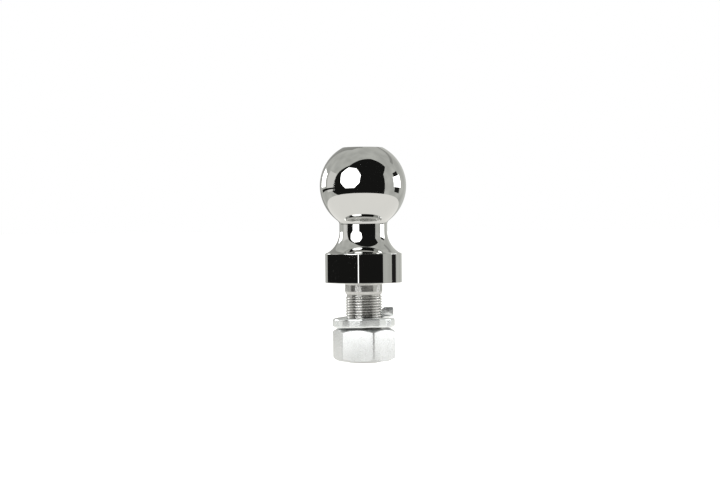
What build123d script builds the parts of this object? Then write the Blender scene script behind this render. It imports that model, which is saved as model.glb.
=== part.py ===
"""A 2-5/16 inch trailer hitch ball as it is sold: one chromed forging, with a ball, a neck, a flange
and a 1 inch threaded shank, and the split lock washer and hex nut that clamp it to a drawbar.

Frame: millimetres, +Z up along the shank's axis, with the origin at the centre of the shank's flat
end, which the whole stands on. The nut is run on until its lower face is just inside that end.
Angles are measured from +X towards +Y, and the front is -Y.
"""

from build123d import *
from math import ceil, cos, radians, sin, sqrt, tan
import os

INCH = 25.4

# Driving dimensions, all standard sizes
BALL_D = (2 + 5 / 16) * INCH
SHANK_D = 1.0 * INCH
SHANK_LENGTH = (2 + 1 / 8) * INCH
THREADS_PER_INCH = 14
NUT_ACROSS_FLATS = (1 + 1 / 2) * INCH
NUT_HEIGHT = 55 / 64 * INCH
WASHER_OD = 1.656 * INCH
WASHER_WIDTH = 0.319 * INCH
WASHER_THICKNESS = 0.25 * INCH

# Ball and neck
BALL_R = BALL_D / 2
BALL_CENTRE_Z = 119.8
FLAT_Z = BALL_CENTRE_Z + 26.05
FLAT_EDGE_ROUND = 0.8
NECK_R = 16.25
NECK_TOP_ROUND = 3.5

# Flange, which the neck sweeps out to
SEAT_Z = SHANK_LENGTH
FLANGE_R = 26.05
FLANGE_TOP_Z = 73.85
FLANGE_TOP_ROUND = 0.5
FLANGE_FOOT_ROUND = 0.35
SWEEP_R = 17.0
SWEEP_CENTRE_Z = 89.0
SWEEP_DEG = 58.0

# Shank, from the flange down: fillet, plain shoulder, taper, relief groove, thread, chamfer
SHANK_R = SHANK_D / 2
SEAT_FILLET_R = 1.6
SHOULDER_END_Z = 48.1
TAPER_END_R = 12.1
TAPER_END_Z = 46.2
RELIEF_R = 11.45
RELIEF_START_Z = 46.0
RELIEF_END_Z = 45.2
THREAD_END_Z = 44.6
SHANK_END_CHAMFER = 1.45

# The 1"-14 thread, right-hand, 60 degrees. CREST and ROOT are the shank's, MOUTH and FLOOR the nut's.
PITCH = INCH / THREADS_PER_INCH
FLANK = tan(radians(30))
CREST_R = 12.65
ROOT_R = 11.54
CREST_FLAT = PITCH / 8
NUT_MOUTH_R = 11.8
NUT_FLOOR_R = 12.8
FLANK_PLAY = 0.06  # between the shank's flank and the nut's, along the axis
CUT_PAST = 0.05  # how far a cutter keeps its slope beyond the surface that it cuts
CUT_CLEAR = 1.0  # how far it reaches beyond that surface in all
LEAD_IN = 3  # half turns of groove cut below z = 0, so that the thread runs out of the end

SEAM_DEG = 137.0  # turns a round blank's seam away from the thread's start

# Nut
NUT_FOOT_Z = 1.05
NUT_TOP_Z = NUT_FOOT_Z + NUT_HEIGHT
NUT_CORNER_DEG = 47.4
NUT_CORNER_ROUND = 0.7
NUT_FACE_R = 18.1
NUT_CHAMFER_DEG = 30.0
NUT_COUNTERSINK_R = 13.3

# Lock washer, one left-hand turn. Its angles run clockwise, seen from above, from its lower end.
WASHER_LOWER_END_DEG = 9.0
WASHER_SPAN_DEG = 354.0
# It lies nearly level and then springs up towards its other end, as the cube of the way round.
WASHER_BASE = -0.05
WASHER_SPRING = 8.03
WASHER_TILT_ALONG = 0.43
WASHER_TILT_ACROSS = 1.2
WASHER_OUTER_EDGE = 0.7
WASHER_INNER_EDGE = 1.28
WASHER_STATIONS = 37


def turned(outline):
    """The solid that a face of (radius, height) sweeps in a full turn about Z."""
    return revolve(Plane.XZ * outline, Axis.Z)


def rounded(face, corners):
    """The face with each (radius, height) corner rounded to its own radius."""
    for place, corner_round in corners:
        corner = face.vertices().sort_by_distance((*place, 0))[0]
        face = fillet(corner, corner_round)
    return face


def forging_outline():
    """Half section of ball, neck and flange, and of the shank before its thread is cut."""
    flat_r = sqrt(BALL_R**2 - (FLAT_Z - BALL_CENTRE_Z) ** 2)
    neck_top_z = BALL_CENTRE_Z - sqrt(BALL_R**2 - NECK_R**2)
    sweep_centre_r = NECK_R + SWEEP_R

    def on_sweep(degrees):
        return (
            sweep_centre_r - SWEEP_R * cos(radians(degrees)),
            SWEEP_CENTRE_Z - SWEEP_R * sin(radians(degrees)),
        )

    points = [
        (FLANGE_R, FLANGE_TOP_Z),
        (FLANGE_R, SEAT_Z),
        (SHANK_R, SEAT_Z),
        (SHANK_R, SHOULDER_END_Z),
        (TAPER_END_R, TAPER_END_Z),
        (RELIEF_R, RELIEF_START_Z),
        (RELIEF_R, RELIEF_END_Z),
        (CREST_R, THREAD_END_Z),
        (CREST_R, SHANK_END_CHAMFER),
        (CREST_R - SHANK_END_CHAMFER, 0),
        (0, 0),
        (0, FLAT_Z),
        (flat_r, FLAT_Z),
    ]
    outline = [
        ThreePointArc((flat_r, FLAT_Z), (BALL_R, BALL_CENTRE_Z), (NECK_R, neck_top_z)),
        Line((NECK_R, neck_top_z), on_sweep(0)),
        ThreePointArc(on_sweep(0), on_sweep(SWEEP_DEG / 2), on_sweep(SWEEP_DEG)),
        Line(on_sweep(SWEEP_DEG), points[0]),
        Polyline(*points),
    ]
    corners = [
        ((flat_r, FLAT_Z), FLAT_EDGE_ROUND),
        ((NECK_R, neck_top_z), NECK_TOP_ROUND),
        ((FLANGE_R, FLANGE_TOP_Z), FLANGE_TOP_ROUND),
        ((FLANGE_R, SEAT_Z), FLANGE_FOOT_ROUND),
        ((SHANK_R, SEAT_Z), SEAT_FILLET_R),
    ]
    return rounded(make_face(outline), corners)


def half_turn_cutter(section):
    """Half a turn of a thread's groove, starting at +X, from its section of (radius, height) points."""
    helices = [Edge.make_helix(PITCH, PITCH / 2, r, center=(0, 0, z)) for r, z in section]
    walls = [Face.make_surface_from_curves(a, b) for a, b in zip(helices, helices[1:] + helices[:1])]
    ends = [Face(Wire.make_polygon([edge @ end for edge in helices])) for end in (0, 1)]
    return Solid(Shell(walls + ends))


def threaded(blank, section, top_z):
    """The blank with a right-hand groove cut from below its foot to top_z, half a turn at a time.

    The section's heights are measured from the groove's middle where the groove crosses z = 0 at +X.
    """
    cutter = half_turn_cutter(section)
    for n in range(-LEAD_IN, ceil(2 * top_z / PITCH)):
        blank = blank.cut(cutter.rotate(Axis.Z, 180 * n).translate(Vector(0, 0, n * PITCH / 2)))
    return blank


def hitch_ball():
    def half_groove(r):
        return (PITCH - CREST_FLAT) / 2 - (CREST_R - r) * FLANK

    root, mouth = half_groove(ROOT_R), half_groove(CREST_R + CUT_PAST)
    section = [
        (ROOT_R, -root),
        (CREST_R + CUT_PAST, -mouth),
        (CREST_R + CUT_CLEAR, -mouth),
        (CREST_R + CUT_CLEAR, mouth),
        (CREST_R + CUT_PAST, mouth),
        (ROOT_R, root),
    ]
    blank = turned(forging_outline()).rotate(Axis.Z, SEAM_DEG)
    return threaded(blank, section, RELIEF_END_Z)


def hex_nut():
    corner_r = NUT_ACROSS_FLATS / sqrt(3)
    hexagon = RegularPolygon(corner_r, 6, rotation=NUT_CORNER_DEG)
    hexagon = fillet(hexagon.vertices(), NUT_CORNER_ROUND)
    prism = extrude(Pos(0, 0, NUT_FOOT_Z) * hexagon, NUT_HEIGHT)
    chamfer = (corner_r - NUT_FACE_R) * tan(radians(NUT_CHAMFER_DEG))
    sink = NUT_COUNTERSINK_R - NUT_MOUTH_R
    ring = Polyline(
        (NUT_MOUTH_R, NUT_FOOT_Z + sink),
        (NUT_COUNTERSINK_R, NUT_FOOT_Z),
        (NUT_FACE_R, NUT_FOOT_Z),
        (corner_r, NUT_FOOT_Z + chamfer),
        (corner_r, NUT_TOP_Z - chamfer),
        (NUT_FACE_R, NUT_TOP_Z),
        (NUT_COUNTERSINK_R, NUT_TOP_Z),
        (NUT_MOUTH_R, NUT_TOP_Z - sink),
        close=True,
    )
    blank = prism & turned(make_face(ring)).rotate(Axis.Z, SEAM_DEG)

    def half_groove(r):
        return CREST_FLAT / 2 + (CREST_R - r) * FLANK + FLANK_PLAY

    # The nut's groove holds the shank's crests, which lie half a pitch from the shank's own groove.
    floor, mouth = half_groove(NUT_FLOOR_R), half_groove(NUT_MOUTH_R - CUT_PAST)
    section = [
        (NUT_FLOOR_R, PITCH / 2 - floor),
        (NUT_FLOOR_R, PITCH / 2 + floor),
        (NUT_MOUTH_R - CUT_PAST, PITCH / 2 + mouth),
        (NUT_MOUTH_R - CUT_CLEAR, PITCH / 2 + mouth),
        (NUT_MOUTH_R - CUT_CLEAR, PITCH / 2 - mouth),
        (NUT_MOUTH_R - CUT_PAST, PITCH / 2 - mouth),
    ]
    return threaded(blank, section, NUT_TOP_Z + PITCH)


def washer_underside(along_deg):
    """Height of the washer's underside above the nut, at an angle along it from its lower end."""
    along = radians(along_deg)
    spring = WASHER_SPRING * (along_deg / 360) ** 3
    return WASHER_BASE + spring + WASHER_TILT_ALONG * cos(along) + WASHER_TILT_ACROSS * sin(along)


def lock_washer():
    outer_r = WASHER_OD / 2
    inner_r = outer_r - WASHER_WIDTH
    top = WASHER_THICKNESS
    outer = WASHER_OUTER_EDGE
    inner = WASHER_INNER_EDGE
    section = [
        (inner_r + inner, 0),
        (outer_r - outer, 0),
        (outer_r, outer),
        (outer_r, top - outer),
        (outer_r - outer, top),
        (inner_r + inner, top),
        (inner_r, top - inner),
        (inner_r, inner),
    ]
    stations = []
    for n in range(WASHER_STATIONS):
        along = WASHER_SPAN_DEG * n / (WASHER_STATIONS - 1)
        upright = Plane.XZ.rotated((0, 0, WASHER_LOWER_END_DEG - along))
        base = NUT_TOP_Z + washer_underside(along)
        stations.append(upright * make_face(Polyline(*[(r, base + z) for r, z in section], close=True)))
    return loft(stations)


PARTS = {"hitch_ball": hitch_ball, "lock_washer": lock_washer, "hex_nut": hex_nut}

os.makedirs("parts", exist_ok=True)
for node, build in PARTS.items():
    export_step(build(), f"parts/{node}.step")
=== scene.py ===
"""Looks for a chromed trailer hitch ball with its lock washer and nut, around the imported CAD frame.

Lengths are metres in the CAD's frame: +Z up the shank, the origin at the shank's flat end, -Y the
front. The forging, washer and nut are meshed again here at the CAD's sizes, because mirror chrome
shows every facet. MM turns the millimetres that the parts are drawn in into metres.
"""

from math import asin, atan2, ceil, cos, degrees, pi, radians, sin, sqrt, tan

import bmesh
import bpy
from mathutils import Matrix, Vector


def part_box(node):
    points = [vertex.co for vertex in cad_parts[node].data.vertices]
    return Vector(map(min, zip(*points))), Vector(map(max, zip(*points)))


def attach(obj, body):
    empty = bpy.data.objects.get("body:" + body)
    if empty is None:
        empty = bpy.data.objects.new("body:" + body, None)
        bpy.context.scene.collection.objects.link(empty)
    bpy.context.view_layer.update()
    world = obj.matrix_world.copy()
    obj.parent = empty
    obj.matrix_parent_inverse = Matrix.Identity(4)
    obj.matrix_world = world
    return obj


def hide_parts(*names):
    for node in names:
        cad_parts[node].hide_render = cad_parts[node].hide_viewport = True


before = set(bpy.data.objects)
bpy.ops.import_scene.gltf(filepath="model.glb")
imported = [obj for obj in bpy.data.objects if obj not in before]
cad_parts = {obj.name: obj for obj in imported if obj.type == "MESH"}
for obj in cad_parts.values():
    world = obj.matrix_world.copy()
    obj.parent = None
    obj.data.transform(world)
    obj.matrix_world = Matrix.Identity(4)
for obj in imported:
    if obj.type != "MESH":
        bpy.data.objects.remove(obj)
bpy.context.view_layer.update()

MM = 0.001
INCH = 0.0254

# Sizes read from the frame
BALL_LOW, BALL_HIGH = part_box("hitch_ball")
NUT_LOW, NUT_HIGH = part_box("hex_nut")
BALL_R = (BALL_HIGH.x - BALL_LOW.x) / 2
TOP_Z = BALL_HIGH.z
NUT_FOOT_Z = NUT_LOW.z
NUT_TOP_Z = NUT_HIGH.z

# Ball, neck and flange
FLAT_ABOVE_CENTRE = 26.05 * MM
BALL_CENTRE_Z = TOP_Z - FLAT_ABOVE_CENTRE
FLAT_EDGE_ROUND = 0.8 * MM
NECK_R = 16.25 * MM
NECK_TOP_ROUND = 3.5 * MM
FLANGE_R = 26.05 * MM
FLANGE_TOP_Z = 73.85 * MM
FLANGE_TOP_ROUND = 0.5 * MM
FLANGE_FOOT_ROUND = 0.35 * MM
SWEEP_R = 17.0 * MM
SWEEP_CENTRE_Z = 89.0 * MM
SWEEP_DEG = 58.0

# Shank
SEAT_Z = 2.125 * INCH
SHANK_R = INCH / 2
SEAT_FILLET_R = 1.6 * MM
SHOULDER_END_Z = 48.1 * MM
TAPER_END_R = 12.1 * MM
TAPER_END_Z = 46.2 * MM
RELIEF_R = 11.45 * MM
RELIEF_START_Z = 46.0 * MM
RELIEF_END_Z = 45.2 * MM
THREAD_END_Z = 44.6 * MM
SHANK_END_CHAMFER = 1.45 * MM
SHANK_STARTS_BELOW = 0.1 * MM  # below the seat, where the mirror finish gives way to turning marks

# Thread, right-hand
PITCH = INCH / 14
FLANK = tan(radians(30))
CREST_R = 12.65 * MM
ROOT_R = 11.54 * MM
CREST_FLAT = PITCH / 8
NUT_MOUTH_R = 11.8 * MM
NUT_FLOOR_R = 12.8 * MM
FLANK_PLAY = 0.06 * MM

# Nut
NUT_ACROSS_FLATS = 1.5 * INCH
NUT_CORNER_DEG = 47.4
NUT_CORNER_ROUND = 1.4 * MM
NUT_FACE_R = 18.1 * MM
NUT_CHAMFER = tan(radians(30))  # drop for each unit outwards
NUT_COUNTERSINK_R = 13.3 * MM
NUT_EDGE = 0.18 * MM  # how far the easing of an edge reaches on to each face

# Lock washer, one left-hand turn; its angles run clockwise, seen from above, from its lower end
WASHER_OD = 1.656 * INCH
WASHER_WIDTH = 0.319 * INCH
WASHER_THICKNESS = 0.25 * INCH
WASHER_LOWER_END_DEG = 9.0
WASHER_SPAN_DEG = 354.0
WASHER_BASE = -0.05 * MM
WASHER_SPRING = 8.03 * MM
WASHER_TILT_ALONG = 0.43 * MM
WASHER_TILT_ACROSS = 1.2 * MM
WASHER_OUTER_ROUND = 1.25 * MM
WASHER_INNER_ROUND = 2.25 * MM
WASHER_END_ROUND = 0.25 * MM

# How finely the meshes are divided
LATHE_SEGMENTS = 192
ARC_STEP_DEG = 3.0
SHADING_INSET = 0.1 * MM
JOIN_WITHIN = 0.0001 * MM
NUT_JOIN_WITHIN = 0.001 * MM
THREAD_SEGMENTS = 96
WASHER_STATIONS = 180
NUT_SIDE_COLUMNS = 20
NUT_EDGE_STEPS = (0.0, 0.33, 0.67, 1.0)
WASHER_END_STEPS = (0.0, 0.3, 0.7, 1.0)

# The sharpest meeting of two faces that still shades as one surface
FORGING_SMOOTH_DEG = 8.0
NUT_SMOOTH_DEG = 24.0
WASHER_SMOOTH_DEG = 40.0

# Camera; its lens and sensor are in mm, and its shifts are parts of the frame's width
CAMERA_DISTANCE = 1.2
CAMERA_HEIGHT = 0.094
CAMERA_LENS = 88.2
CAMERA_SENSOR = 36.0
CAMERA_NEAR = 0.05
CAMERA_FAR = 30.0
CAMERA_ROLL_DEG = -0.42
CAMERA_SHIFT_X = -0.0045
CAMERA_SHIFT_Y = -0.0226

# Studio. A card's place is an azimuth and an elevation in degrees and a distance, from STUDIO_CENTRE.
# Azimuth 0 is towards the camera, and it grows to the right of the picture. OPENING lists the corners
# of the tent's opening as (azimuth, elevation).
STUDIO_CENTRE = Vector((0, 0, 0.115))
TENT_DISTANCE = 1.1
FLAG_DISTANCE = 1.05
LIGHT_DISTANCE = 1.0
SOFTBOX_DISTANCE = 0.6
SOFTBOX_R = 0.315  # to its corners
SOFTBOX_FLAG_DISTANCE = 0.5
STRIP_DISTANCE = 0.45
STRIP_SHADE_DISTANCE = 0.2
OPENING = [(-90, -10), (-75, 30), (-50, 50), (-15, 70), (50, 70), (80, 40), (60, 25), (60, -30), (-45, -30)]
PANEL_CUTS = 12
TABLE_R = 0.34
TABLE_Z = 0.3 * MM
DISC_SIDES = 96
FLOOR_R = 30.0  # to its corners
FLOOR_Z = -40 * MM  # below the nut even when it is run off the shank's end
LAMP_AIM = Vector((0, 0, 0.05))

# What the studio gives off: colours, and strengths against the white that the camera sees
LAMP_WHITE = (1.0, 1.0, 1.0)
CLOTH = (1.0, 1.0, 0.95)
CARD_WHITE = (1.0, 0.99, 0.96)
TABLE_WHITE = (1.0, 0.985, 0.945)
TENT_GREY = (0.66, 0.665, 0.63, 1)
SOFTBOX_GLOW = 4.0
SIDE_GLOW = 5.0
STRIP_GLOW = 2.5
TABLE_GLOW = 1.12
CARD_GLOW = 0.95
SEAM_GLOW = 0.4
FLAG_GLOW = 0.02
BLACK_GLOW = 0.012
FLOOR_GLOW = 0.72

# Finishes
ALONG_AXIS = 0.25  # turns an anisotropic finish a quarter, so that it draws reflections out along Z
ZINC_METALLIC = 0.88
ZINC_DRAWN_OUT = 0.9
ZINC_RELIEF = 0.003 * MM
TURNING_RELIEF = 0.002 * MM
SCUFF_GREY = (0.42, 0.43, 0.44, 1)


# ---------------------------------------------------------------- mesh helpers


def mesh_object(name, bm, smooth_deg):
    """An object of the bmesh, smooth except where its faces meet at more than smooth_deg."""
    bmesh.ops.recalc_face_normals(bm, faces=bm.faces)
    for face in bm.faces:
        face.smooth = True
    for edge in bm.edges:
        if len(edge.link_faces) == 2:
            edge.smooth = edge.calc_face_angle(0.0) < radians(smooth_deg)
    mesh = bpy.data.meshes.new(name)
    bm.to_mesh(mesh)
    bm.free()
    piece = bpy.data.objects.new(name, mesh)
    bpy.context.scene.collection.objects.link(piece)
    return piece


def lerp(a, b, t):
    return a + (b - a) * t


def polar(radius, angle, z):
    return Vector((radius * cos(angle), radius * sin(angle), z))


def circle(radius, count, z):
    """Points evenly round a level circle."""
    return [polar(radius, 2 * pi * n / count, z) for n in range(count)]


def arc_points(centre, radius, start_deg, end_deg):
    """Points of (radius, height) round an arc, from start_deg to end_deg, both ends included."""
    steps = max(2, ceil(abs(end_deg - start_deg) / ARC_STEP_DEG))
    angles = [radians(lerp(start_deg, end_deg, n / steps)) for n in range(steps + 1)]
    return [(centre[0] + radius * cos(a), centre[1] + radius * sin(a)) for a in angles]


def rounded_corner(before, corner, after, radius):
    """Points of the arc that rounds a corner between two straight runs."""
    at = Vector(corner)
    back = (Vector(before) - at).normalized()
    on = (Vector(after) - at).normalized()
    half = back.angle(on) / 2
    centre = at + (on + back).normalized() * radius / sin(half)
    start = at + back * radius / tan(half) - centre
    turn = start.angle_signed(at + on * radius / tan(half) - centre)
    start_deg = degrees(atan2(start.y, start.x))
    return arc_points(centre, radius, start_deg, start_deg - degrees(turn))


def straight_to(points, more):
    """Carries a profile on by a straight run, with a point just inside each end so that it shades flat."""
    start, end = Vector(points[-1]), Vector(more[0])
    inset = (end - start).normalized() * SHADING_INSET
    return points + [tuple(start + inset), tuple(end - inset)] + more


def ring_of(bm, points):
    return [bm.verts.new(p) for p in points]


def bridge(bm, ring_a, ring_b, closed=True):
    count = len(ring_a)
    for n in range(count if closed else count - 1):
        m = (n + 1) % count
        bm.faces.new((ring_a[n], ring_a[m], ring_b[m], ring_b[n]))


def cap(bm, ring, centre):
    hub = bm.verts.new(centre)
    for n in range(len(ring)):
        bm.faces.new((ring[n], ring[(n + 1) % len(ring)], hub))


# ---------------------------------------------------------------- the forging


def neck_blend():
    """Where a round of NECK_TOP_ROUND touches the ball and the neck: its centre height and its angle."""
    centre_r = NECK_R + NECK_TOP_ROUND
    reach = BALL_R + NECK_TOP_ROUND
    centre_z = BALL_CENTRE_Z - sqrt(reach**2 - centre_r**2)
    return centre_z, degrees(atan2(BALL_CENTRE_Z - centre_z, centre_r))


def forging_profile():
    """Points of (radius, height) from the ball's flat down to the start of the relief groove."""
    inner = BALL_R - FLAT_EDGE_ROUND
    edge_rise = FLAT_ABOVE_CENTRE - FLAT_EDGE_ROUND
    edge_centre = (sqrt(inner**2 - edge_rise**2), BALL_CENTRE_Z + edge_rise)
    edge_deg = degrees(asin(edge_rise / inner))
    blend_z, blend_deg = neck_blend()
    sweep_centre = (NECK_R + SWEEP_R, SWEEP_CENTRE_Z)
    sweep_end = (
        sweep_centre[0] - SWEEP_R * cos(radians(SWEEP_DEG)),
        sweep_centre[1] - SWEEP_R * sin(radians(SWEEP_DEG)),
    )
    flange_top = (FLANGE_R, FLANGE_TOP_Z)
    flange_foot = (FLANGE_R, SEAT_Z)
    points = arc_points(edge_centre, FLAT_EDGE_ROUND, 90, edge_deg)
    points += arc_points((0, BALL_CENTRE_Z), BALL_R, edge_deg, -blend_deg)[1:]
    points += arc_points((NECK_R + NECK_TOP_ROUND, blend_z), NECK_TOP_ROUND, 180 - blend_deg, 180)[1:]
    fillet_centre = (SHANK_R + SEAT_FILLET_R, SEAT_Z - SEAT_FILLET_R)
    runs = [
        arc_points(sweep_centre, SWEEP_R, 180, 180 + SWEEP_DEG),
        rounded_corner(sweep_end, flange_top, flange_foot, FLANGE_TOP_ROUND),
        rounded_corner(flange_top, flange_foot, (SHANK_R, SEAT_Z), FLANGE_FOOT_ROUND),
        arc_points(fillet_centre, SEAT_FILLET_R, 90, 180),
        [(SHANK_R, SHOULDER_END_Z), (TAPER_END_R, TAPER_END_Z), (RELIEF_R, RELIEF_START_Z)],
    ]
    for run in runs:
        points = straight_to(points, run)
    return points


def shank_limit(z, r):
    """The thread's radius at a height, no more than the end's chamfer and the relief groove allow."""
    if z < SHANK_END_CHAMFER:
        return min(r, CREST_R - (SHANK_END_CHAMFER - z))
    if z > THREAD_END_Z:
        return min(r, lerp(CREST_R, RELIEF_R, (z - THREAD_END_Z) / (RELIEF_END_Z - THREAD_END_Z)))
    return r


def thread_marks(floor_r, mouth_r, half_groove):
    """One groove of a thread as (height from its middle, radius), low end first.

    half_groove(r) is half of the groove's height at radius r.
    """
    floor = half_groove(floor_r)
    mouth = half_groove(mouth_r)
    flank = (floor + mouth) / 2, (floor_r + mouth_r) / 2
    upper = [(floor, floor_r), flank, (mouth, mouth_r)]
    return [(-z, r) for z, r in reversed(upper)] + upper


def threaded_wall(bm, marks, phase, low_z, high_z, limit):
    """A helical wall from low_z to high_z, with level ends.

    Each column of vertices climbs the wall at one angle, and its marks rise with the angle by a pitch
    a turn. A groove's middle crosses +X at the height phase. limit(z, r) trims the thread's radius to
    the blank's.
    """
    first = int((low_z - phase) / PITCH) - 2
    last = int((high_z - phase) / PITCH) + 2
    heights = [(phase + n * PITCH + dz, r) for n in range(first, last + 1) for dz, r in marks]
    columns = []
    for s in range(THREAD_SEGMENTS + 1):
        angle = 2 * pi * s / THREAD_SEGMENTS
        rise = PITCH * s / THREAD_SEGMENTS
        column = []
        for z, r in heights:
            at_z = min(max(z + rise, low_z), high_z)
            column.append(bm.verts.new(polar(limit(at_z, r), angle, at_z)))
        columns.append(column)
    for a, b in zip(columns, columns[1:]):
        bridge(bm, a, b, closed=False)


def tidy_wall(bm):
    """Joins the wall's seam and drops the faces that its level ends left with no area."""
    bmesh.ops.remove_doubles(bm, verts=bm.verts, dist=JOIN_WITHIN)
    bmesh.ops.dissolve_degenerate(bm, dist=JOIN_WITHIN, edges=bm.edges)


def shank_groove(r):
    return (PITCH - CREST_FLAT) / 2 - (CREST_R - r) * FLANK


def by_angle(verts):
    return sorted(verts, key=lambda v: atan2(v.co.y, v.co.x))


def boundary_loop(bm, z):
    """The vertices of the open edge at height z, in order of angle."""
    verts = {v for e in bm.edges if e.is_boundary for v in e.verts if abs(v.co.z - z) < JOIN_WITHIN}
    return by_angle(verts)


def join_rings(bm, ring_a, ring_b):
    """Fills the band between two level rings that are divided differently."""
    a, b = 0, 0
    facing = ring_a[0].co.xy.normalized()
    start = min(range(len(ring_b)), key=lambda n: (ring_b[n].co.xy.normalized() - facing).length)
    ring_b = ring_b[start:] + ring_b[:start]
    while a < len(ring_a) or b < len(ring_b):
        va, vb = ring_a[a % len(ring_a)], ring_b[b % len(ring_b)]
        if b * len(ring_a) > a * len(ring_b) or b >= len(ring_b):
            bm.faces.new((va, ring_a[(a + 1) % len(ring_a)], vb))
            a += 1
        else:
            bm.faces.new((va, ring_b[(b + 1) % len(ring_b)], vb))
            b += 1


def make_forging():
    bm = bmesh.new()
    marks = thread_marks(ROOT_R, CREST_R, shank_groove)
    threaded_wall(bm, marks, 0.0, 0.0, RELIEF_END_Z, shank_limit)
    tidy_wall(bm)
    cap(bm, boundary_loop(bm, 0.0), (0, 0, 0))
    thread_top = boundary_loop(bm, RELIEF_END_Z)
    rings = [ring_of(bm, circle(r, LATHE_SEGMENTS, z)) for r, z in forging_profile()]
    for a, b in zip(rings, rings[1:]):
        bridge(bm, a, b)
    cap(bm, rings[0], (0, 0, TOP_Z))
    join_rings(bm, thread_top, rings[-1])
    for face in bm.faces:
        face.material_index = int(face.calc_center_median().z < SEAT_Z - SHANK_STARTS_BELOW)
    return mesh_object("chrome_forging", bm, FORGING_SMOOTH_DEG)


# ---------------------------------------------------------------- the nut


def hex_radius(angle):
    """The nut's outer radius at an angle, with its corners rounded."""
    sector = radians(60)
    off = (angle - radians(NUT_CORNER_DEG) + sector / 2) % sector - sector / 2
    flat = NUT_ACROSS_FLATS / 2
    # off is the angle from the nearest corner; the corner's round is centred on the corner's line
    round_centre = (flat - NUT_CORNER_ROUND) / cos(sector / 2)
    touch = NUT_CORNER_ROUND * sin(sector / 2), round_centre + NUT_CORNER_ROUND * cos(sector / 2)
    if abs(off) < atan2(*touch):
        return round_centre * cos(off) + sqrt(NUT_CORNER_ROUND**2 - (round_centre * sin(off)) ** 2)
    return flat / cos(sector / 2 - abs(off))


def nut_angles():
    """Angles of the nut's columns, which crowd together towards its corners."""
    side = [30.0 * (n / NUT_SIDE_COLUMNS) ** 2 for n in range(NUT_SIDE_COLUMNS + 1)]
    offsets = [-d for d in reversed(side[1:-1])] + side
    return [radians(NUT_CORNER_DEG + 60 * k + d) for k in range(6) for d in offsets]


def nut_outline(outer_r):
    """Half of the nut's section outside its bore, at a column whose outer radius is outer_r."""
    drop = (outer_r - NUT_FACE_R) * NUT_CHAMFER
    corners = [
        (NUT_COUNTERSINK_R, NUT_FOOT_Z),
        (NUT_FACE_R, NUT_FOOT_Z),
        (outer_r, NUT_FOOT_Z + drop),
        (outer_r, NUT_TOP_Z - drop),
        (NUT_FACE_R, NUT_TOP_Z),
        (NUT_COUNTERSINK_R, NUT_TOP_Z),
    ]
    points = [corners[0]]
    for before, corner, after in zip(corners, corners[1:], corners[2:]):
        at = Vector(corner)
        back = (Vector(before) - at).normalized() * NUT_EDGE
        on = (Vector(after) - at).normalized() * NUT_EDGE
        for t in NUT_EDGE_STEPS:
            points.append(tuple(at + back * (1 - t) ** 2 + on * t**2))
    points.append(corners[-1])
    return points


def nut_groove(r):
    return CREST_FLAT / 2 + (CREST_R - r) * FLANK + FLANK_PLAY


def nut_limit(z, r):
    """The nut's bore radius at a height, where its countersinks may open it beyond the thread."""
    from_end = min(z - NUT_FOOT_Z, NUT_TOP_Z - z)
    return max(r, NUT_COUNTERSINK_R - from_end)


def make_nut():
    bm = bmesh.new()
    marks = thread_marks(NUT_FLOOR_R, NUT_MOUTH_R, nut_groove)
    threaded_wall(bm, marks, PITCH / 2, NUT_FOOT_Z, NUT_TOP_Z, nut_limit)
    tidy_wall(bm)
    low_bore = boundary_loop(bm, NUT_FOOT_Z)
    high_bore = boundary_loop(bm, NUT_TOP_Z)
    angles = nut_angles()
    outlines = [nut_outline(hex_radius(a)) for a in angles]
    rings = []
    for n in range(len(outlines[0])):
        rings.append(ring_of(bm, [polar(o[n][0], a, o[n][1]) for a, o in zip(angles, outlines)]))
    for a, b in zip(rings, rings[1:]):
        bridge(bm, a, b)
    join_rings(bm, low_bore, by_angle(rings[0]))
    join_rings(bm, high_bore, by_angle(rings[-1]))
    bmesh.ops.remove_doubles(bm, verts=bm.verts, dist=NUT_JOIN_WITHIN)
    return mesh_object("zinc_nut", bm, NUT_SMOOTH_DEG)


# ---------------------------------------------------------------- the lock washer


def washer_underside(along):
    """Height of the washer's underside above the nut, at an angle along it from its lower end."""
    spring = WASHER_SPRING * (along / (2 * pi)) ** 3
    return WASHER_BASE + spring + WASHER_TILT_ALONG * cos(along) + WASHER_TILT_ACROSS * sin(along)


def washer_section(shrink):
    """The washer's rounded section as (radius, height above its underside), drawn in by shrink."""
    outer_r = WASHER_OD / 2 - shrink
    inner_r = WASHER_OD / 2 - WASHER_WIDTH + shrink
    low, high = shrink, WASHER_THICKNESS - shrink
    r = WASHER_OUTER_ROUND
    points = arc_points((outer_r - r, low + r), r, -90, 0)
    points += arc_points((outer_r - r, high - r), r, 0, 90)
    r = WASHER_INNER_ROUND
    points += arc_points((inner_r + r, high - r), r, 90, 180)
    points += arc_points((inner_r + r, low + r), r, 180, 270)
    return points


def washer_ring(bm, along_deg, shrink):
    along = radians(along_deg)
    angle = radians(WASHER_LOWER_END_DEG) - along
    base = NUT_TOP_Z + washer_underside(along)
    return ring_of(bm, [polar(r, angle, base + z) for r, z in washer_section(shrink)])


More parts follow.
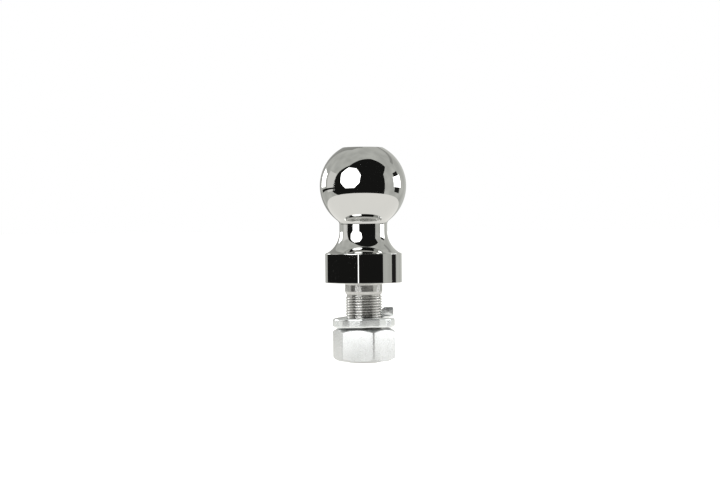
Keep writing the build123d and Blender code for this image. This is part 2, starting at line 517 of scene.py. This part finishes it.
def make_washer():
    bm = bmesh.new()
    end_deg = degrees(WASHER_END_ROUND / (WASHER_OD / 2))
    end = [(end_deg * t, WASHER_END_ROUND * (1 - sqrt(1 - (1 - t) ** 2))) for t in WASHER_END_STEPS]
    plain_deg = WASHER_SPAN_DEG - 2 * end_deg
    plain = [(end_deg + plain_deg * n / WASHER_STATIONS, 0.0) for n in range(1, WASHER_STATIONS)]
    other_end = [(WASHER_SPAN_DEG - along, shrink) for along, shrink in reversed(end)]
    rings = [washer_ring(bm, along, shrink) for along, shrink in end + plain + other_end]
    for a, b in zip(rings, rings[1:]):
        bridge(bm, a, b)
    for ring in (rings[0], rings[-1]):
        cap(bm, ring, sum((v.co for v in ring), Vector()) / len(ring))
    return mesh_object("zinc_lock_washer", bm, WASHER_SMOOTH_DEG)


# ---------------------------------------------------------------- materials


class Nodes:
    """Adds shader nodes to one material and links them."""

    def __init__(self, name):
        self.material = bpy.data.materials.new(name)
        self.material.use_nodes = True
        self.tree = self.material.node_tree
        self.shader = self.tree.nodes["Principled BSDF"]

    def add(self, kind, inputs=(), **settings):
        node = self.tree.nodes.new(kind)
        for key, value in settings.items():
            setattr(node, key, value)
        for key, value in dict(inputs).items():
            self.put(value, node.inputs[key])
        return node

    def place(self, scale=(1, 1, 1)):
        coords = self.add("ShaderNodeTexCoord")
        return self.add("ShaderNodeMapping", {"Vector": coords.outputs["Object"], "Scale": scale}).outputs[0]

    def noise(self, where, scale, detail=4.0, roughness=0.55):
        node = self.add(
            "ShaderNodeTexNoise", {"Vector": where, "Scale": scale, "Detail": detail, "Roughness": roughness}
        )
        return node.outputs["Fac"]

    def ranged(self, value, low, high, to_low, to_high):
        node = self.add(
            "ShaderNodeMapRange",
            {"Value": value, "From Min": low, "From Max": high, "To Min": to_low, "To Max": to_high},
        )
        return node.outputs[0]

    def mixed(self, factor, a, b):
        # sockets 6 and 7 are a Mix node's two colours, and output 2 is the colour that it gives
        return self.add("ShaderNodeMix", {0: factor, 6: a, 7: b}, data_type="RGBA").outputs[2]

    def math(self, operation, a, b):
        node = self.add("ShaderNodeMath", {0: a, 1: b}, operation=operation)
        return node.outputs[0]

    def bump(self, height, distance):
        node = self.add("ShaderNodeBump", {"Height": height, "Distance": distance, "Strength": 1.0})
        self.set(Normal=node.outputs[0])

    def put(self, value, socket):
        """Links an output to a socket, or sets the socket to a constant."""
        if isinstance(value, bpy.types.NodeSocket):
            self.tree.links.new(value, socket)
        else:
            socket.default_value = value

    def draw_out(self, amount):
        """Draws the shader's reflections out along Z."""
        tangent = self.add("ShaderNodeTangent", direction_type="RADIAL", axis="Z").outputs[0]
        self.set(Anisotropic=amount, Anisotropic_Rotation=ALONG_AXIS, Tangent=tangent)

    def set(self, **inputs):
        for key, value in inputs.items():
            self.put(value, self.shader.inputs[key.replace("_", " ")])


def chrome_material():
    """Mirror chrome plate, with polishing haze and a few dust specks."""
    n = Nodes("chrome_plate")
    where = n.place()
    haze = n.noise(where, 60.0, 3.0)
    speck = n.ranged(n.noise(where, 1400.0, 2.0, 0.4), 0.74, 0.80, 0.0, 0.25)
    n.set(
        Base_Color=n.mixed(haze, (0.56, 0.565, 0.555, 1), (0.60, 0.60, 0.585, 1)),
        Metallic=1.0,
        Roughness=n.math("ADD", n.ranged(haze, 0.3, 0.7, 0.012, 0.03), speck),
    )
    return n.material


def turned_material():
    """The plate over the shank's turned steel: fine rings draw reflections out, and the thread's roots are
    darkened with painted shade.
    """
    n = Nodes("turned_chrome")
    where = n.place()
    rings = n.noise(n.place((0.02, 0.02, 1.0)), 5000.0, 3.0)
    wear = n.noise(where, 160.0)
    height = n.add("ShaderNodeSeparateXYZ", {0: where}).outputs["Z"]
    from_axis = n.add("ShaderNodeVectorMath", {0: n.place((1.0, 1.0, 0.0))}, operation="LENGTH")
    # Painted shade: the thread's colour runs from dark at its roots to light at its crests, so that its lines
    # show.
    root_shade_fade = n.ranged(from_axis.outputs["Value"], ROOT_R, CREST_R, 0.0, 1.0)
    above_thread = n.ranged(height, THREAD_END_Z, RELIEF_END_Z, 0.0, 1.0)
    thread = n.mixed(root_shade_fade, (0.44, 0.44, 0.43, 1), (0.86, 0.86, 0.845, 1))
    worn = n.ranged(wear, 0.35, 0.65, 0.0, 1.0)
    plain = n.mixed(worn, (0.46, 0.46, 0.445, 1), (0.56, 0.56, 0.545, 1))
    n.set(
        Base_Color=n.mixed(above_thread, thread, plain),
        Metallic=1.0,
        Roughness=n.ranged(wear, 0.3, 0.7, 0.13, 0.17),
    )
    n.draw_out(1.0)
    n.bump(rings, TURNING_RELIEF)
    return n.material


def zinc_material(name, tint_low, tint_high, roughness_low, roughness_high):
    """Bright zinc plate: bluish white, satin, drawn out along the axis, with pits and handling marks."""
    n = Nodes(name)
    where = n.place()
    patches = n.noise(where, 90.0, 5.0)
    grain = n.noise(where, 1600.0)
    marks = n.noise(n.place((0.25, 0.25, 1.0)), 700.0, 5.0, 0.65)
    scuff = n.ranged(marks, 0.60, 0.72, 0.0, 1.0)
    colour = n.mixed(n.ranged(patches, 0.35, 0.65, 0.0, 1.0), tint_low, tint_high)
    satin = n.ranged(grain, 0.3, 0.7, roughness_low, roughness_high)
    n.set(
        Base_Color=n.mixed(n.math("MULTIPLY", scuff, 0.3), colour, SCUFF_GREY),
        Metallic=ZINC_METALLIC,
        Roughness=n.math("ADD", satin, n.math("MULTIPLY", scuff, 0.1)),
    )
    n.draw_out(ZINC_DRAWN_OUT)
    n.bump(n.math("ADD", n.math("MULTIPLY", grain, 0.35), n.math("MULTIPLY", marks, 0.65)), ZINC_RELIEF)
    return n.material


def washer_material():
    return zinc_material("zinc_washer", (0.64, 0.66, 0.66, 1), (0.80, 0.82, 0.82, 1), 0.14, 0.20)


def nut_material():
    return zinc_material("zinc_nut", (0.50, 0.51, 0.51, 1), (0.54, 0.55, 0.55, 1), 0.26, 0.30)


def give(piece, *materials):
    for material in materials:
        piece.data.materials.append(material)


# ---------------------------------------------------------------- studio


def emission(name, colour, strength):
    material = bpy.data.materials.new(name)
    material.use_nodes = True
    tree = material.node_tree
    tree.nodes.clear()
    light = tree.nodes.new("ShaderNodeEmission")
    light.inputs["Color"].default_value = (*colour, 1)
    light.inputs["Strength"].default_value = strength
    out = tree.nodes.new("ShaderNodeOutputMaterial")
    tree.links.new(light.outputs[0], out.inputs["Surface"])
    return material


def direction(azimuth_deg, elevation_deg):
    """A unit vector from the studio's centre."""
    a, e = radians(azimuth_deg), radians(elevation_deg)
    return Vector((sin(a) * cos(e), -cos(a) * cos(e), sin(e)))


def studio_mesh(name, bm, material, glossy_only=True):
    mesh = bpy.data.meshes.new(name)
    bm.to_mesh(mesh)
    bm.free()
    card = bpy.data.objects.new(name, mesh)
    bpy.context.scene.collection.objects.link(card)
    give(card, material)
    if glossy_only:
        card.visible_camera = False
        card.visible_diffuse = False
        card.visible_shadow = False
        card.visible_transmission = False
    return card


def panel(name, material, distance, corners):
    """A many-sided card round the object, its corners given as (azimuth, elevation)."""
    bm = bmesh.new()
    points = [STUDIO_CENTRE + direction(a, e) * distance for a, e in corners]
    cap(bm, ring_of(bm, points), sum(points, Vector()) / len(points))
    bmesh.ops.subdivide_edges(bm, edges=bm.edges, cuts=PANEL_CUTS, use_grid_fill=True)
    for vert in bm.verts:
        vert.co = STUDIO_CENTRE + (vert.co - STUDIO_CENTRE).normalized() * distance
    return studio_mesh(name, bm, material)


def upright(name, material, distance, azimuth, elevation, width, height):
    """A card that is width degrees wide and height degrees tall, with its top and bottom level."""
    bm = bmesh.new()
    rows = []
    for v in range(PANEL_CUTS + 1):
        row_elevation = elevation + height * (v / PANEL_CUTS - 0.5)
        across = [azimuth + width * (u / PANEL_CUTS - 0.5) for u in range(PANEL_CUTS + 1)]
        rows.append(ring_of(bm, [STUDIO_CENTRE + direction(a, row_elevation) * distance for a in across]))
    for low, high in zip(rows, rows[1:]):
        bridge(bm, low, high, closed=False)
    return studio_mesh(name, bm, material)


def disc_card(name, material, distance, azimuth, elevation, radius, sides):
    """A flat many-sided card that faces the object, with a side level at its foot."""
    bm = bmesh.new()
    facing = direction(azimuth, elevation)
    turn = facing.to_track_quat("Z", "Y").to_matrix() @ Matrix.Rotation(pi / sides, 3, "Z")
    centre = STUDIO_CENTRE + facing * distance
    bm.faces.new(ring_of(bm, [centre + turn @ p for p in circle(radius, sides, 0)]))
    return studio_mesh(name, bm, material)


def level_disc(name, radius, z, material):
    bm = bmesh.new()
    bm.faces.new(ring_of(bm, circle(radius, DISC_SIDES, z)))
    return studio_mesh(name, bm, material)


def make_floor():
    """The pale floor that the camera sees. It glows a little, so that it stays white to the horizon."""
    bm = bmesh.new()
    bm.faces.new(ring_of(bm, circle(FLOOR_R, 4, FLOOR_Z)))
    n = Nodes("pale_floor")
    grain = n.noise(n.place(), 40.0)
    n.set(
        Base_Color=n.mixed(grain, (0.78, 0.78, 0.77, 1), (0.82, 0.82, 0.81, 1)),
        Roughness=0.9,
        Emission_Color=(1, 1, 1, 1),
        Emission_Strength=FLOOR_GLOW,
    )
    floor = studio_mesh("floor", bm, n.material, glossy_only=False)
    floor.visible_glossy = False


def make_studio():
    """A pale tent, open at the front, with a round white table, a softbox and a light at each side."""
    make_floor()
    level_disc("round_table", TABLE_R, TABLE_Z, emission("white_table", TABLE_WHITE, TABLE_GLOW))
    black = emission("black_cloth", CLOTH, BLACK_GLOW)
    seam = emission("seam", CLOTH, SEAM_GLOW)
    panel("tent_opening", black, TENT_DISTANCE, OPENING)
    upright("back_flag", seam, FLAG_DISTANCE, azimuth=145, elevation=36, width=60, height=6)
    upright("left_back_card", seam, FLAG_DISTANCE, azimuth=-165, elevation=20, width=30, height=80)
    make_front_lights(black)
    make_side_lights(black)


def make_front_lights(black):
    """The softbox, whose foot is hidden from the flange, and a strip that only the flange shows."""
    softbox = emission("softbox_light", LAMP_WHITE, SOFTBOX_GLOW)
    strip = emission("strip_light", LAMP_WHITE, STRIP_GLOW)
    disc_card(
        "octagon_softbox", softbox, SOFTBOX_DISTANCE, azimuth=-35, elevation=19, radius=SOFTBOX_R, sides=8
    )
    upright("softbox_flag", black, SOFTBOX_FLAG_DISTANCE, azimuth=-35, elevation=-7.5, width=60, height=4)
    upright("strip_light", strip, STRIP_DISTANCE, azimuth=-15, elevation=-8, width=2.5, height=5)
    upright("strip_shade", black, STRIP_SHADE_DISTANCE, azimuth=-15, elevation=-8, width=10, height=7)


def make_side_lights(black):
    """A light at each side, with the card and the flags that stand round them."""
    light = emission("side_light", LAMP_WHITE, SIDE_GLOW)
    card = emission("white_card", CARD_WHITE, CARD_GLOW)
    flag = emission("grey_flag", CLOTH, FLAG_GLOW)
    upright("left_light", light, LIGHT_DISTANCE, azimuth=-130, elevation=9, width=22, height=18)
    upright("left_reflector", card, TENT_DISTANCE, azimuth=-95, elevation=8, width=30, height=34)
    upright("left_low_flag", black, FLAG_DISTANCE, azimuth=-108, elevation=-4, width=60, height=3)
    upright("right_light", light, LIGHT_DISTANCE, azimuth=104, elevation=7, width=28, height=18)
    upright("right_flag", flag, FLAG_DISTANCE, azimuth=103, elevation=6, width=20, height=34)


def area_light(name, location, size, power):
    data = bpy.data.lights.new(name, "AREA")
    data.size = size
    data.energy = power
    lamp = bpy.data.objects.new(name, data)
    lamp.location = location
    lamp.rotation_euler = (LAMP_AIM - Vector(location)).to_track_quat("-Z", "Y").to_euler()
    bpy.context.scene.collection.objects.link(lamp)
    lamp.visible_camera = False
    lamp.visible_glossy = False


def make_world():
    """A pale tent all round: white to the camera, light grey with soft folds in the chrome."""
    world = bpy.data.worlds.new("tent")
    bpy.context.scene.world = world
    world.use_nodes = True
    tree = world.node_tree
    tree.nodes.clear()

    def add(kind, **inputs):
        node = tree.nodes.new(kind)
        for key, value in inputs.items():
            node.inputs[key.replace("_", " ")].default_value = value
        return node

    seen = add("ShaderNodeBackground", Color=(1.0, 1.0, 1.0, 1), Strength=1.0)
    mirrored = add("ShaderNodeBackground", Color=TENT_GREY)
    folds = add("ShaderNodeTexNoise", Scale=2.5, Detail=2.0)
    soft = add("ShaderNodeMapRange", From_Min=0.35, From_Max=0.65, To_Min=0.86, To_Max=1.1)
    path = add("ShaderNodeLightPath")
    mix = add("ShaderNodeMixShader")
    out = add("ShaderNodeOutputWorld")
    tree.links.new(folds.outputs["Fac"], soft.inputs["Value"])
    tree.links.new(soft.outputs[0], mirrored.inputs["Strength"])
    tree.links.new(path.outputs["Is Camera Ray"], mix.inputs[0])
    tree.links.new(mirrored.outputs[0], mix.inputs[1])
    tree.links.new(seen.outputs[0], mix.inputs[2])
    tree.links.new(mix.outputs[0], out.inputs["Surface"])


def make_lights():
    area_light("key_left", (-0.7, -0.8, 0.5), size=0.8, power=4.0)
    area_light("key_right", (0.8, -0.6, 0.4), size=0.7, power=12.0)
    area_light("overhead", (0.0, 0.1, 1.2), size=1.2, power=6.0)


def make_camera():
    data = bpy.data.cameras.new("camera")
    data.lens = CAMERA_LENS
    data.sensor_width = CAMERA_SENSOR
    data.clip_start = CAMERA_NEAR
    data.clip_end = CAMERA_FAR
    camera = bpy.data.objects.new("camera", data)
    camera.location = (0.0, -CAMERA_DISTANCE, CAMERA_HEIGHT)
    level = Matrix.Rotation(radians(90), 4, "X")
    roll = Matrix.Rotation(radians(CAMERA_ROLL_DEG), 4, "Z")
    camera.rotation_euler = (level @ roll).to_euler()
    data.shift_x = CAMERA_SHIFT_X
    data.shift_y = CAMERA_SHIFT_Y
    bpy.context.scene.collection.objects.link(camera)
    bpy.context.scene.camera = camera


# ---------------------------------------------------------------- the object


def take_place(piece, node, body, slot, *materials):
    give(piece, *materials)
    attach(piece, body)
    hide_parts(node)


make_camera()
make_world()
make_studio()
make_lights()
take_place(make_forging(), "hitch_ball", "ball", "chrome_plate", chrome_material(), turned_material())
take_place(make_washer(), "lock_washer", "washer", "zinc_washer", washer_material())
take_place(make_nut(), "hex_nut", "nut", "zinc_nut", nut_material())

bpy.context.scene.view_settings.view_transform = "Standard"
